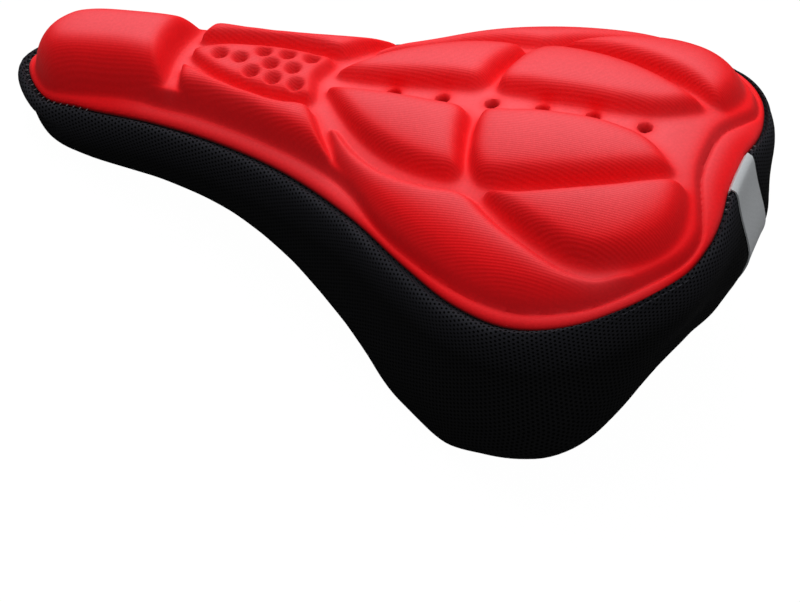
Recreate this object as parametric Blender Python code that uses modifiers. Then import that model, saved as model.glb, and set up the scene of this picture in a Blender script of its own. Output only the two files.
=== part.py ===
"""Padded cover for a bicycle saddle.

A moulded red top with raised pads is sewn to a black mesh skirt. The skirt rolls over the seam,
hangs round the saddle and folds under, and its hem holds an elastic loop. A reflective strip
covers the join at the back.

The cover is drawn in the frame of its top: X runs from the nose to the rear, Y to the side,
and Z up from the middle of the seat. One empty tips that frame until the hem lies level.
Metres throughout, outlines in millimetres.
"""

import math

import bmesh
import bpy
from mathutils import Vector, geometry

MM = 0.001

# Sizes that the pieces share
GAP = 0.0003
SEAM_GAP = 0.0005

# Moulded top
RIM_DROP = 0.0025
RIM_ROUND = 0.0012
EDGE_THICKNESS = 0.0026
BASE_THICKNESS = 0.0055
THICKENING = 0.014

# Curves across the top, as radii: of the whole, of the rim at the nose, and at the wings
SADDLE_RADIUS = 0.114
NOSE_RIM_RADIUS = 0.0385
NOSE_RIM_AT = -0.045
NOSE_RIM_OVER = 0.024
WING_RADIUS = 0.31
WING_AT = -0.008
WING_OVER = 0.024

# Raised forms of the top: height over the platform and width of the rounded shoulder
PLATFORM_SHOULDER = 0.0030
NOSE_RISE = 0.0128
NOSE_SHOULDER = 0.0130
SHIELD_RISE = 0.0050
SHIELD_SHOULDER = 0.0030
SIDE_RISE = 0.0064
SIDE_SHOULDER = 0.0030
INNER_RISE = 0.0078
CRESCENT_RISE = 0.0066
OUTER_RISE = 0.0088
PAD_SHOULDER = 0.0042
CRESCENT_SHOULDER = 0.0100
CROWN_SHARE = 0.22
CROWN_SHOULDER = 0.016
FORM_DEPTH = 0.0010

# Distances between the points of the meshes
BASE_SPACING = 0.0085
SEAM_SPACING = 0.0065
PAD_SPACING = 0.0055
SMALL_SPACING = 0.0042
NOSE_SPACING = 0.0048

# Vents and dimples
VENT_COUNT = 6
VENT_FIRST = 0.0086
VENT_PITCH = 0.01895
VENT_DIAMETER = 0.0052
VENT_DEPTH = 0.0030
DIMPLE_DIAMETER = 0.0052
DIMPLE_DEPTH = 0.0022
CUTTER_ABOVE = 0.004
HOLE_FOOT_SHARE = 0.36
HOLE_SPREAD = 0.28

# Skirt
FABRIC = 0.0018
LAP = 0.006
LAP_EDGE = 0.0005
ROLL_OUT = 0.0064
NOSE_ROLL_OUT = 0.0054
REAR_ROLL_OUT = 0.0046
ROLL_DEPTH = 0.0078
FLARE_NOSE = 0.0036
FLARE_SIDE = 0.0125
TUCK_CORNER = 0.0090
TUCK_MIDDLE = 0.0050
TUCK_NEAR = 0.012
TUCK_FAR = 0.040
NOSE_END = -0.120
WAIST = -0.040
TUCK_START = 0.084
TUCK_END = 0.133
FLARE_START = -0.100
FLARE_END = 0.040
BELLY = 0.0036
HEM_HEIGHT = -0.0749
HEM_SLOPE = -0.34
HEM_SMOOTHING = 0.004
FOLD_INSET = 0.0040
FOLD_HEIGHT = 0.0062
HEM_FLAT = 0.004
STATION_SPACING = 0.0165
STATION_TURN = 0.60

# Turn of the fold, as shares of its inset and height, and the steps round the hem
TURN_INSET_SHARE = 0.30
TURN_HEIGHT_SHARE = 0.35
HEM_STEPS = 6
HEM_STEP_DEGREES = 43

# Roll of the skirt over the seam: share of its reach outward and of its depth
ROLL_PROFILE = [(0.28, 0.22), (0.52, 0.08), (0.78, 0.22), (0.95, 0.54), (1.0, 1.0)]

# Elastic and strip
ELASTIC_RADIUS = 0.0015
ELASTIC_CLEARANCE = 0.0011
STRIP_WIDTH = 0.020
STRIP_THICKNESS = 0.0006

# Height of the middle line of the top over its length
MIDDLE_LINE = [
    (-142, -5.0), (-120, 1.0), (-100, 3.0), (-71, 3.9), (-45, 1.8), (-19, -0.2), (9, 0.0),
    (40, 1.1), (65, 1.9), (84, 1.8), (103, 0.2), (115, -1.6), (126, -5.3), (137, -12.0),
]

# Lift of the hem over the plane that the cover rests on, over its length
HEM_LIFT = [
    (-136, 0), (-114, 2.9), (-94, 7.9), (-79, 12.2), (-62, 15.7), (-46, 17.5), (-31, 16.8),
    (-17, 15.4), (-8, 13.6), (4, 11.4), (15, 7.0), (26, 0), (49.5, 0), (56, 3.2), (62, 7.5),
    (75, 15.5), (85, 22), (98, 30), (110, 38.5), (122, 46.5), (135, 54),
]

# Half outlines, from the front of the middle line to its rear
SEAM = [
    (-142.5, 0), (-139.0, 8.0), (-127.5, 18.0), (-111, 21.3), (-80, 24.3), (-46, 28.9),
    (-20, 35.8), (9, 49.0), (34, 63.3), (56, 73.6), (78, 77.9), (98, 74.2), (117, 63.3),
    (130, 48.5), (135.2, 33), (136.2, 22), (135.3, 10), (135.2, 0),
]
PLATFORM = [
    (-112, 0), (-106, 9), (-92, 15.6), (-80, 18.6), (-62, 20.2), (-40, 23.8), (-18, 29.6),
    (-3, 35.6), (7, 41.4), (21, 52.4), (36, 61), (57, 69.5), (78, 73.1), (96, 69.8),
    (109, 63.8), (121.5, 53.6), (129, 44), (131.8, 34), (129.8, 25), (126.2, 14),
    (125.2, 6), (125.1, 0),
]
NOSE = [
    (-137.8, 0), (-136.4, 6.4), (-132.8, 11.4), (-126, 16.2), (-116, 17.8), (-95, 17.9),
    (-80, 18.4), (-73.2, 18.2), (-74.4, 13), (-76.4, 6.5), (-77.2, 0),
]
SHIELD = [
    (-71.2, 0), (-69.8, 2.2), (-66.2, 4.4), (-60.6, 7.2), (-52, 9.7), (-42.5, 11.6),
    (-32.5, 12.4), (-23, 12.2), (-19.2, 11.4), (-18.8, 9.0), (-20.2, 4.5), (-21.4, 0),
]

# Whole outlines of the pads on the left side, which are mirrored to the right
SIDE_PAD = [
    (-71.4, 8.0), (-63, 10.3), (-54, 12.8), (-43, 14.9), (-30, 16.2), (-21, 15.6),
    (-17.6, 16.0), (-14.0, 19.9), (-10.0, 25.4), (-6.0, 30.2), (-3.4, 33.8), (-6.5, 33.4),
    (-17.4, 29.0), (-29, 25.8), (-40, 22.9), (-52, 20.7), (-60, 19.4), (-66.4, 18.8),
    (-69.0, 17.0), (-70.6, 12.5),
]
INNER_FRONT = [
    (-15.8, 4.4), (-8, 3.4), (4, 3.6), (16, 4.5), (28, 5.5), (38.6, 6.6), (41.4, 9.2),
    (43.0, 17), (45.2, 27), (46.9, 34.2), (44.6, 36.3), (38, 36.4), (30, 35.2), (21, 32.5),
    (10, 27.2), (1, 21.2), (-6, 15), (-12, 9),
]
INNER_REAR = [
    (46.4, 7.3), (58, 5.4), (71, 4.4), (84, 4.2), (96, 5.0), (107, 7.6), (114, 12.2),
    (119.0, 17.8), (114.5, 20.8), (104, 26), (92, 30.9), (80, 34.3), (68, 36.6), (58, 37.4),
    (52.8, 35.4), (49.0, 29.5), (46.6, 21), (45.4, 12.5),
]
OUTER_FRONT = [
    (-8.2, 21.8), (-5.6, 22.0), (0, 26.6), (8, 32.2), (18, 37.0), (29, 40.2), (40, 41.6),
    (48.5, 41.8), (54.5, 43.8), (60, 47.6), (67, 51.9), (76, 56.0), (86, 59.9), (96, 62.2),
    (105, 61.8), (114.5, 57.4), (116.6, 57.4), (108, 63.2), (96, 68.6), (78, 72.2),
    (57, 68.5), (36, 60.0), (21, 51.2), (7, 40.4), (-0.6, 33.8), (-4.4, 28.2),
]
OUTER_REAR = [
    (57.6, 41.2), (62, 40.4), (72, 39.8), (86, 36.6), (100, 32.2), (112, 26.9),
    (121, 22.2), (124.6, 22.4), (126.6, 27.4), (127.4, 34.7), (126.4, 41), (122, 48.8),
    (114, 54.6), (104, 58.2), (94, 58.4), (84, 55.6), (73, 51.0), (64, 45.9),
]

# Dimples of the shield on the left side and the middle line
DIMPLES = [(-59.5, 0), (-51.5, 0), (-39.3, 0), (-30.5, 0), (-44.5, 5.9), (-35.5, 7.0),
           (-26.3, 7.6)]


def clear_scene():
    for item in list(bpy.data.objects):
        bpy.data.objects.remove(item, do_unlink=True)


def make_material(name, colour, roughness):
    material = bpy.data.materials.new(name)
    material.use_nodes = True
    shader = material.node_tree.nodes["Principled BSDF"]
    shader.inputs["Base Color"].default_value = (*colour, 1.0)
    shader.inputs["Roughness"].default_value = roughness
    shader.inputs["Metallic"].default_value = 0.0
    material.diffuse_color = (*colour, 1.0)
    return material


# Plan curves

def hermite(before, start, end, after, t):
    """Point at t between start and end, on a smooth curve through all four."""
    lengths = [max(math.sqrt((b - a).length), 1e-6)
               for a, b in ((before, start), (start, end), (end, after))]
    lead, run, trail = lengths
    out = (start - before) / lead - (end - before) / (lead + run) + (end - start) / run
    into = (end - start) / run - (after - start) / (run + trail) + (after - end) / trail
    cube, square = t ** 3, t ** 2
    return (start * (2 * cube - 3 * square + 1) + out * run * (cube - 2 * square + t)
            + end * (3 * square - 2 * cube) + into * run * (cube - square))


def mirrored(half):
    """Closed outline from its half with y of 0 or more."""
    return half + [(x, -y) for x, y in reversed(half[1:-1])]


def smooth_loop(outline, spacing, fine=12):
    """Evenly spaced points on the smooth closed curve through an outline in millimetres."""
    knots = [Vector(point) * MM for point in outline]
    count = len(knots)
    curve = []
    for i in range(count):
        near = [knots[(i + step) % count] for step in (-1, 0, 1, 2)]
        curve += [hermite(*near, j / fine) for j in range(fine)]
    return evenly(curve + curve[:1], spacing)[:-1]


def evenly(line, spacing, turn=None):
    """The same line with its points at even distances, its ends kept.

    With a turn, in radians, a bend counts as length too, so that the points crowd there.
    """
    travelled = [0.0]
    for i in range(1, len(line)):
        step = (line[i] - line[i - 1]).length
        if turn and 1 < i:
            step += (line[i] - line[i - 1]).angle(line[i - 1] - line[i - 2]) * spacing / turn
        travelled.append(travelled[-1] + step)
    steps = max(3, round(travelled[-1] / spacing))
    points = []
    i = 0
    for k in range(steps + 1):
        target = travelled[-1] * k / steps
        while i < len(line) - 2 and travelled[i + 1] < target:
            i += 1
        run = max(travelled[i + 1] - travelled[i], 1e-9)
        points.append(line[i].lerp(line[i + 1], (target - travelled[i]) / run))
    return points


def outward_normals(loop):
    """Unit vectors that point out of a closed loop."""
    area = sum(a.x * b.y - b.x * a.y for a, b in zip(loop, loop[1:] + loop[:1]))
    turn = 1.0 if area > 0 else -1.0
    count = len(loop)
    normals = []
    for i in range(count):
        along = loop[(i + 1) % count] - loop[i - 1]
        normals.append(Vector((along.y, -along.x)).normalized() * turn)
    return normals


def depth_inside(point, loop):
    """Distance from a point to the nearest side of a closed loop."""
    nearest = 1.0
    for start, end in zip(loop, loop[1:] + loop[:1]):
        side = end - start
        t = max(0.0, min(1.0, (point - start).dot(side) / side.length_squared))
        nearest = min(nearest, (point - start - side * t).length)
    return nearest


def is_inside(point, loop):
    inside = False
    for a, b in zip(loop, loop[1:] + loop[:1]):
        if (a.y > point.y) != (b.y > point.y):
            if point.x < a.x + (point.y - a.y) / (b.y - a.y) * (b.x - a.x):
                inside = not inside
    return inside


# Form of the top

def middle_height(x):
    knots = [Vector(point) * MM for point in MIDDLE_LINE]
    x = max(knots[0].x, min(knots[-1].x, x))
    i = max(k for k in range(len(knots) - 1) if knots[k].x <= x)
    t = (x - knots[i].x) / (knots[i + 1].x - knots[i].x)

    def slope(k):
        a = knots[max(k - 1, 0)]
        b = knots[min(k + 1, len(knots) - 1)]
        return (b.y - a.y) / (b.x - a.x)

    run = knots[i + 1].x - knots[i].x
    cube, square = t ** 3, t ** 2
    return (knots[i].y * (2 * cube - 3 * square + 1) + slope(i) * run * (cube - 2 * square + t)
            + knots[i + 1].y * (3 * square - 2 * cube) + slope(i + 1) * run * (cube - square))


def platform_height(point):
    """The saddle form that the pads follow: it falls to both sides, most at the wings."""
    wings = math.exp(-((point.x - WING_AT) / WING_OVER) ** 2)
    bend = 1 / SADDLE_RADIUS + wings / WING_RADIUS
    return middle_height(point.x) - bend * point.y ** 2 / 2


def rim_height(point):
    """The rim falls more steeply than the platform towards the nose."""
    nose = 1 / (1 + math.exp((point.x - NOSE_RIM_AT) / NOSE_RIM_OVER))
    bend = 1 / SADDLE_RADIUS + nose / NOSE_RIM_RADIUS
    return middle_height(point.x) - RIM_DROP - bend * point.y ** 2 / 2


def underside(point, depth):
    """Bottom of the top: thin over the lap at the seam and thicker inward."""
    share = ease(depth, LAP, LAP + THICKENING)
    return rim_height(point) - EDGE_THICKNESS - (BASE_THICKNESS - EDGE_THICKNESS) * share


def round_over(t):
    """Quarter circle from 0 to 1."""
    t = max(0.0, min(1.0, t))
    return math.sqrt(1 - (1 - t) ** 2)


def ease(value, start, end):
    t = max(0.0, min(1.0, (value - start) / (end - start)))
    return t * t * (3 - 2 * t)


def plan_mesh(loop, depths, spacing):
    """Triangles over a closed loop, with rows of points at some depths and a grid inside."""
    points = list(loop)
    normals = outward_normals(loop)
    for depth in depths:
        row = [p - n * depth for p, n in zip(loop, normals)]
        for point in row:
            clear = min((point - other).length for other in points)
            if clear > min(0.45 * spacing, 0.8 * depth) and is_inside(point, loop):
                if depth_inside(point, loop) > 0.95 * depth:
                    points.append(point)
    low_x, high_x = min(p.x for p in loop), max(p.x for p in loop)
    high_y = max(p.y for p in loop)
    low_y = min(p.y for p in loop)
    rows = int((high_y - low_y) / (spacing * 0.866)) + 1
    for row in range(rows + 1):
        y = (low_y + high_y) / 2 + (row - rows // 2) * spacing * 0.866
        for column in range(int((high_x - low_x) / spacing) + 2):
            point = Vector((low_x + (column + 0.5 * (row % 2)) * spacing, y))
            if is_inside(point, loop) and depth_inside(point, loop) > depths[-1] + 0.3 * spacing:
                if min((point - other).length for other in points) > 0.6 * spacing:
                    points.append(point)
    sides = [(i, (i + 1) % len(loop)) for i in range(len(loop))]
    flat, _, faces, *_ = geometry.delaunay_2d_cdt(points, sides, [], 1, 1e-6)
    return flat, faces


def solid_between(name, loop, depths, spacing, top, bottom, collection, frame):
    """Closed solid over a loop, between two height functions of a point and its depth."""
    flat, faces = plan_mesh(loop, depths, spacing)
    inside = [depth_inside(point, loop) for point in flat]
    mesh = bmesh.new()
    lower = [mesh.verts.new((p.x, p.y, bottom(p, d))) for p, d in zip(flat, inside)]
    for face in faces:
        mesh.faces.new([lower[i] for i in face])
    raised = bmesh.ops.extrude_face_region(mesh, geom=mesh.faces[:])
    for vert in (item for item in raised["geom"] if isinstance(item, bmesh.types.BMVert)):
        point = vert.co.to_2d()
        vert.co.z = top(point, depth_inside(point, loop))
    bmesh.ops.recalc_face_normals(mesh, faces=mesh.faces[:])
    data = bpy.data.meshes.new(name)
    mesh.to_mesh(data)
    mesh.free()
    return place(bpy.data.objects.new(name, data), collection, frame)


def place(item, collection, frame):
    collection.objects.link(item)
    item.parent = frame
    return item


def make_guide(item):
    """Shows a cutter or a form to be joined as a wire only."""
    item.hide_render = True
    item.display_type = "WIRE"
    return item


def mirror_across_middle(item, bisect):
    mirror = item.modifiers.new("Mirror", "MIRROR")
    mirror.use_axis = (False, True, False)
    mirror.use_bisect_axis = (False, bisect, False)
    mirror.merge_threshold = 0.00001


def raised_form(name, outline, rise, shoulder, spacing, collection, frame, symmetric,
                foot=platform_height):
    """Pillow that rises from its foot, with rounded shoulders and a slight crown."""
    loop = smooth_loop(outline, spacing)

    def top(point, depth):
        start = foot(point)
        edge = platform_height(point) + rise * (1 - CROWN_SHARE) - start
        crown = rise * CROWN_SHARE * round_over(depth / max(shoulder, CROWN_SHOULDER))
        return start + edge * round_over(depth / shoulder) + crown

    def bottom(point, depth):
        return rim_height(point) - FORM_DEPTH

    depths = [shoulder * share for share in (0.12, 0.42, 1.0)]
    form = solid_between(name, loop, depths, spacing, top, bottom, collection, frame)
    mirror_across_middle(form, symmetric)
    return make_guide(form)


def boolean(item, operation, operand):
    cut = item.modifiers.new(operation.title(), "BOOLEAN")
    cut.operation = operation
    cut.solver = "EXACT"
    if isinstance(operand, bpy.types.Collection):
        cut.operand_type = "COLLECTION"
        cut.collection = operand
    else:
        cut.object = operand


def make_base(loop, collection, frame):
    """Flat panel under all the pads, with the rim that shows round them."""
    def top(point, depth):
        return rim_height(point) - RIM_ROUND * (1 - round_over(depth / RIM_ROUND))

    depths = [RIM_ROUND, LAP, LAP + THICKENING * 0.6]
    base = solid_between("top_pad", loop, depths, BASE_SPACING, top, underside, collection,
                         frame)
    mirror_across_middle(base, True)
    return base


def make_platform(collection, frame):
    """Low step that carries the pads and the vents."""
    loop = smooth_loop(mirrored(PLATFORM), PAD_SPACING)

    def top(point, depth):
        drop = RIM_DROP * (1 - round_over(depth / PLATFORM_SHOULDER))
        return platform_height(point) - drop

    def bottom(point, depth):
        return rim_height(point) - 1.2 * FORM_DEPTH

    depths = [PLATFORM_SHOULDER * 0.35, PLATFORM_SHOULDER]
    form = solid_between("platform_form", loop, depths, BASE_SPACING, top, bottom, collection,
                         frame)
    mirror_across_middle(form, True)
    return make_guide(form)


def make_pads(collection, frame):
    raised_form("nose_form", mirrored(NOSE), NOSE_RISE, NOSE_SHOULDER, NOSE_SPACING,
                collection, frame, True, foot=rim_height)
    raised_form("shield_form", mirrored(SHIELD), SHIELD_RISE, SHIELD_SHOULDER, SMALL_SPACING,
                collection, frame, True)
    pads = [
        ("side_form", SIDE_PAD, SIDE_RISE, SIDE_SHOULDER, SMALL_SPACING),
        ("inner_front_form", INNER_FRONT, INNER_RISE, PAD_SHOULDER, PAD_SPACING),
        ("inner_rear_form", INNER_REAR, INNER_RISE, PAD_SHOULDER, PAD_SPACING),
        ("outer_front_form", OUTER_FRONT, CRESCENT_RISE, CRESCENT_SHOULDER, PAD_SPACING),
        ("outer_rear_form", OUTER_REAR, OUTER_RISE, PAD_SHOULDER, PAD_SPACING),
    ]
    for name, outline, rise, shoulder, spacing in pads:
        raised_form(name, outline, rise, shoulder, spacing, collection, frame, False)


def make_hole(name, point, surface, diameter, depth, collection, frame):
    """Tapered cutter that leaves a blind round hollow."""
    widening = HOLE_SPREAD * CUTTER_ABOVE / depth
    mesh = bmesh.new()
    bmesh.ops.create_cone(mesh, cap_ends=True, segments=10, radius1=diameter * HOLE_FOOT_SHARE,
                          radius2=diameter / 2 * (1 + widening),
                          depth=depth + CUTTER_ABOVE)
    data = bpy.data.meshes.new(name)
    mesh.to_mesh(data)
    mesh.free()
    hole = place(bpy.data.objects.new(name, data), collection, frame)
    hole.location = (point.x, point.y, surface + (CUTTER_ABOVE - depth) / 2)
    return make_guide(hole)


def make_holes(collection, frame):
    for i in range(VENT_COUNT):
        point = Vector((VENT_FIRST + i * VENT_PITCH, 0.0))
        make_hole(f"vent_cutter_{i + 1}", point, platform_height(point), VENT_DIAMETER,
                  VENT_DEPTH, collection, frame)
    places = DIMPLES + [(x, -y) for x, y in DIMPLES if y > 0]
    for i, place_mm in enumerate(places):
        point = Vector(place_mm) * MM
        surface = platform_height(point) + SHIELD_RISE * (1 - CROWN_SHARE * 0.4)
        make_hole(f"dimple_cutter_{i + 1}", point, surface, DIMPLE_DIAMETER, DIMPLE_DEPTH,
                  collection, frame)


# Skirt, elastic and strip

def seam_stations():
    """Points round the seam with their outward directions, symmetric about the middle.

    The list starts at the rear on the middle line. The second point and the last lie at the
    edges of the reflective strip.
    """
    loop = smooth_loop(mirrored(SEAM), 0.001)
    half = [point for point in loop if point.y >= -1e-7]
    half.sort(key=lambda point: loop.index(point))
    half.reverse()
    edge = next(i for i, point in enumerate(half) if point.y > STRIP_WIDTH / 2)
    one_side = [half[0]] + evenly(half[edge:], STATION_SPACING, STATION_TURN)
    for end in (one_side[0], one_side[-1]):
        end.y = 0.0
    one_side[1].y = STRIP_WIDTH / 2
    ring = one_side + [Vector((p.x, -p.y)) for p in reversed(one_side[1:-1])]
    return list(zip(ring, outward_normals(ring)))


def tuck(seam):
    """How far the foot of the rear is drawn in, from none at the sides."""
    middle = 1 - ease(abs(seam.y), TUCK_NEAR, TUCK_FAR)
    drawn = TUCK_CORNER + (TUCK_MIDDLE - TUCK_CORNER) * middle
    return drawn * ease(seam.x, TUCK_START, TUCK_END)


def flare(seam):
    """How far the foot of the skirt stands out from the seam."""
    out = FLARE_NOSE + (FLARE_SIDE - FLARE_NOSE) * ease(seam.x, FLARE_START, FLARE_END)
    return out * (1 - ease(seam.x, TUCK_START, TUCK_END)) - tuck(seam)


def hem_lift(x):
    """Height of the hem over the resting plane, the mean of the drawn line round x."""
    knots = [Vector(point) * MM for point in HEM_LIFT]
    total = 0.0
    for step in (-1.0, -0.5, 0.0, 0.5, 1.0):
        place_x = max(knots[0].x, min(knots[-1].x, x + step * HEM_SMOOTHING))
        i = max(k for k in range(len(knots) - 1) if knots[k].x <= place_x)
        start, end = knots[i], knots[i + 1]
        total += start.y + (end.y - start.y) * (place_x - start.x) / (end.x - start.x)
    return total / 5


def above_hem(seam, outward, out, height):
    """Point at a height above the line of the hem, square to it, out from the seam."""
    point = seam + outward * out
    level = HEM_HEIGHT + HEM_SLOPE * point.x + hem_lift(seam.x)
    across = Vector((outward.x, outward.y, HEM_SLOPE * outward.x))
    step = 0.5 * STATION_SPACING * -outward.y
    rise = hem_lift(seam.x + step) - hem_lift(seam.x - step)
    along = Vector((-outward.y, outward.x, rise / STATION_SPACING - HEM_SLOPE * outward.y))
    upright = across.cross(along).normalized()
    return Vector((point.x, point.y, level)) + upright * height


def channel_radius():
    """Outer radius of the fold round the elastic."""
    return ELASTIC_RADIUS + ELASTIC_CLEARANCE + FABRIC


def skirt_section(seam, outward):
    """Outer face of the skirt in one upright plane, from the lap to the end of the hem."""
    def at(out, height):
        point = seam + outward * out
        return Vector((point.x, point.y, height))

    def over_hem(out, height):
        return above_hem(seam, outward, out, height)

    def under_pad(out):
        point = seam + outward * out
        return at(out, underside(point, -out) - SEAM_GAP)

    rim = rim_height(seam)
    roll = (ROLL_OUT + (NOSE_ROLL_OUT - ROLL_OUT) * (1 - ease(seam.x, NOSE_END, WAIST))
            + (REAR_ROLL_OUT - ROLL_OUT) * ease(seam.x, TUCK_START, TUCK_END))
    foot = flare(seam)
    belly = BELLY * ease(seam.x, TUCK_START, TUCK_END)
    lap = [under_pad(-LAP), at(LAP_EDGE, rim - EDGE_THICKNESS - SEAM_GAP)]
    over = [at(roll * out, rim - ROLL_DEPTH * drop) for out, drop in ROLL_PROFILE]
    start, end = over[-1], over_hem(foot, FOLD_HEIGHT)
    side = []
    for share in (0.25, 0.5, 0.75):
        out = roll + (foot - roll) * ease(share, 0, 1) + belly * 4 * share * (1 - share)
        side.append(at(out, start.z + (end.z - start.z) * share))
    fold = [end, over_hem(foot - FOLD_INSET * TURN_INSET_SHARE,
                          FOLD_HEIGHT * TURN_HEIGHT_SHARE),
            over_hem(foot - FOLD_INSET, 0.0)]
    centre = foot - FOLD_INSET - HEM_FLAT
    radius = channel_radius()
    hem = []
    for step in range(HEM_STEPS):
        angle = math.radians(-90 - HEM_STEP_DEGREES * step)
        hem.append(over_hem(centre + radius * math.cos(angle),
                            radius * (1 + math.sin(angle))))
    return lap + over + side + fold + hem


def loft(name, sections, closed, collection, frame):
    """Open sheet through a row of sections with equal numbers of points."""
    mesh = bmesh.new()
    rows = [[mesh.verts.new(point) for point in section] for section in sections]
    pairs = list(zip(rows, rows[1:] + (rows[:1] if closed else [])))
    for row, following in pairs:
        for i in range(len(row) - 1):
            mesh.faces.new((row[i], row[i + 1], following[i + 1], following[i]))
    data = bpy.data.meshes.new(name)
    mesh.to_mesh(data)
    mesh.free()
    return place(bpy.data.objects.new(name, data), collection, frame)


def make_skirt(stations, collection, frame):
    sections = [skirt_section(seam, outward) for seam, outward in stations]
    skirt = loft("skirt", sections, True, collection, frame)
    thick = skirt.modifiers.new("Fabric", "SOLIDIFY")
    thick.thickness = FABRIC
    thick.offset = -1.0
    thick.use_even_offset = True
    return skirt


def make_elastic(stations, collection, frame):
    """Closed loop of round elastic in the fold of the hem."""
    curve = bpy.data.curves.new("hem_elastic", "CURVE")
    curve.dimensions = "3D"
    curve.bevel_depth = ELASTIC_RADIUS
    curve.bevel_resolution = 2
    spline = curve.splines.new("POLY")
    spline.points.add(len(stations) - 1)
    for knot, (seam, outward) in zip(spline.points, stations):
        point = above_hem(seam, outward, flare(seam) - FOLD_INSET - HEM_FLAT, channel_radius())
        knot.co = (*point, 1.0)
    spline.use_cyclic_u = True
    return place(bpy.data.objects.new("hem_elastic", curve), collection, frame)


def make_strip(stations, collection, frame):
    """Strip that follows the outside of the skirt from the seam to the hem."""
    sections = []
    for seam, outward in (stations[-1], stations[0], stations[1]):
        path = skirt_section(seam, outward)[3:13]
        across = Vector((outward.y, -outward.x, 0.0))
        sections.append([])
        for i, point in enumerate(path):
            along = path[min(i + 1, len(path) - 1)] - path[max(i - 1, 0)]
            away = across.cross(along).normalized()
            if away.dot(outward.to_3d()) + away.z * 0.5 < 0 and i < 4:
                away.negate()
            sections[-1].append(point + away * GAP)
    strip = loft("reflective_strip", sections, False, collection, frame)
    thick = strip.modifiers.new("Tape", "SOLIDIFY")
    thick.thickness = STRIP_THICKNESS
    thick.offset = 1.0
    thick.use_even_offset = True
    return strip


def centre_lengthwise(frame, item):
    """Slides the frame along X until the item's box has its middle at X = 0."""
    shown = item.evaluated_get(bpy.context.evaluated_depsgraph_get())
    reach = [(shown.matrix_world @ vert.co).x for vert in shown.data.vertices]
    frame.location.x -= (min(reach) + max(reach)) / 2


def main():
    clear_scene()
    cover = bpy.data.collections.new("saddle_cover")
    forms = bpy.data.collections.new("forms")
    pads = bpy.data.collections.new("pads")
    cutters = bpy.data.collections.new("cutters")
    for collection in (cover, forms, pads, cutters):
        bpy.context.scene.collection.children.link(collection)

    frame = bpy.data.objects.new("cover_frame", None)
    cover.objects.link(frame)
    tilt = math.atan(HEM_SLOPE)
    frame.rotation_euler = (0.0, tilt, 0.0)
    frame.location = (0.0, 0.0, -HEM_HEIGHT * math.cos(tilt))

    red = make_material("red_fabric", (0.72, 0.012, 0.025), 0.72)
    black = make_material("black_mesh", (0.012, 0.012, 0.013), 0.80)
    rubber = make_material("black_elastic", (0.02, 0.02, 0.022), 0.65)
    silver = make_material("reflective_grey", (0.36, 0.38, 0.40), 0.45)

    loop = smooth_loop(mirrored(SEAM), SEAM_SPACING)
    top = make_base(loop, cover, frame)
    platform = make_platform(forms, frame)
    make_pads(pads, frame)
    make_holes(cutters, frame)
    boolean(top, "UNION", platform)
    boolean(top, "UNION", pads)
    boolean(top, "DIFFERENCE", cutters)
    top.data.materials.append(red)

    stations = seam_stations()
    skirt = make_skirt(stations, cover, frame)
    skirt.data.materials.append(black)
    elastic = make_elastic(stations, cover, frame)
    elastic.data.materials.append(rubber)
    strip = make_strip(stations, cover, frame)
    strip.data.materials.append(silver)
    centre_lengthwise(frame, skirt)


main()
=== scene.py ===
# %% [markdown]
# # A padded cover for a bicycle saddle
#
# The real cover is one moulded foam top in a ribbed red knit, sewn to a skirt of black spacer
# mesh. Every step below makes one piece or one finish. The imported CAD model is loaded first,
# and the new pieces take the places of its plain solids.

# %% Load the CAD frame
import math

import bmesh
import bpy
import numpy as np
from mathutils import Matrix, Vector


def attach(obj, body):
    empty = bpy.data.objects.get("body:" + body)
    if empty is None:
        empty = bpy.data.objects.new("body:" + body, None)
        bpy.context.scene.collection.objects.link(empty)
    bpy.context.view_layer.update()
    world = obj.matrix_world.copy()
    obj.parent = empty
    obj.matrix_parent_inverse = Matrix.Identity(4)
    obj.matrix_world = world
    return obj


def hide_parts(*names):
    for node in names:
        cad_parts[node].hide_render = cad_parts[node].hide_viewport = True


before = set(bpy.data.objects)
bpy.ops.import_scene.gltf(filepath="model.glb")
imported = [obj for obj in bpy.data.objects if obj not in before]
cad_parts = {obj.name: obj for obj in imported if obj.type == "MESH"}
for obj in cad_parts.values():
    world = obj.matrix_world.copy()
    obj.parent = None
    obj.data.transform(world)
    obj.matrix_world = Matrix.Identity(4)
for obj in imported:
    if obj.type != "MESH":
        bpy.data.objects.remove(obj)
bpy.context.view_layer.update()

# %% [markdown]
# ## Two sets of axes
#
# The cover lies on its hem, so its top is tipped nose down. The shapes are easier to draw with
# the top level: X runs from the nose to the rear and Z rises from the middle of the seat. One
# matrix then tips each finished mesh into the axes of the CAD model.

# %% Tip to the lying cover
MM = 0.001
HEM_SLOPE = -0.34
HEM_HEIGHT = -0.0749
SLIDE = -0.004479
tilt = math.atan(HEM_SLOPE)
tip = (Matrix.Translation((SLIDE, 0.0, -HEM_HEIGHT * math.cos(tilt)))
       @ Matrix.Rotation(tilt, 4, "Y"))
print("tipped by", round(math.degrees(tilt), 1), "degrees")

# %% [markdown]
# ## Drawn lines
#
# A moulded pad is known by its outline. Each one below is a short list of points in
# millimetres, and a smooth curve is passed through them. Only one side is drawn, because the
# cover is the same on both.

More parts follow.
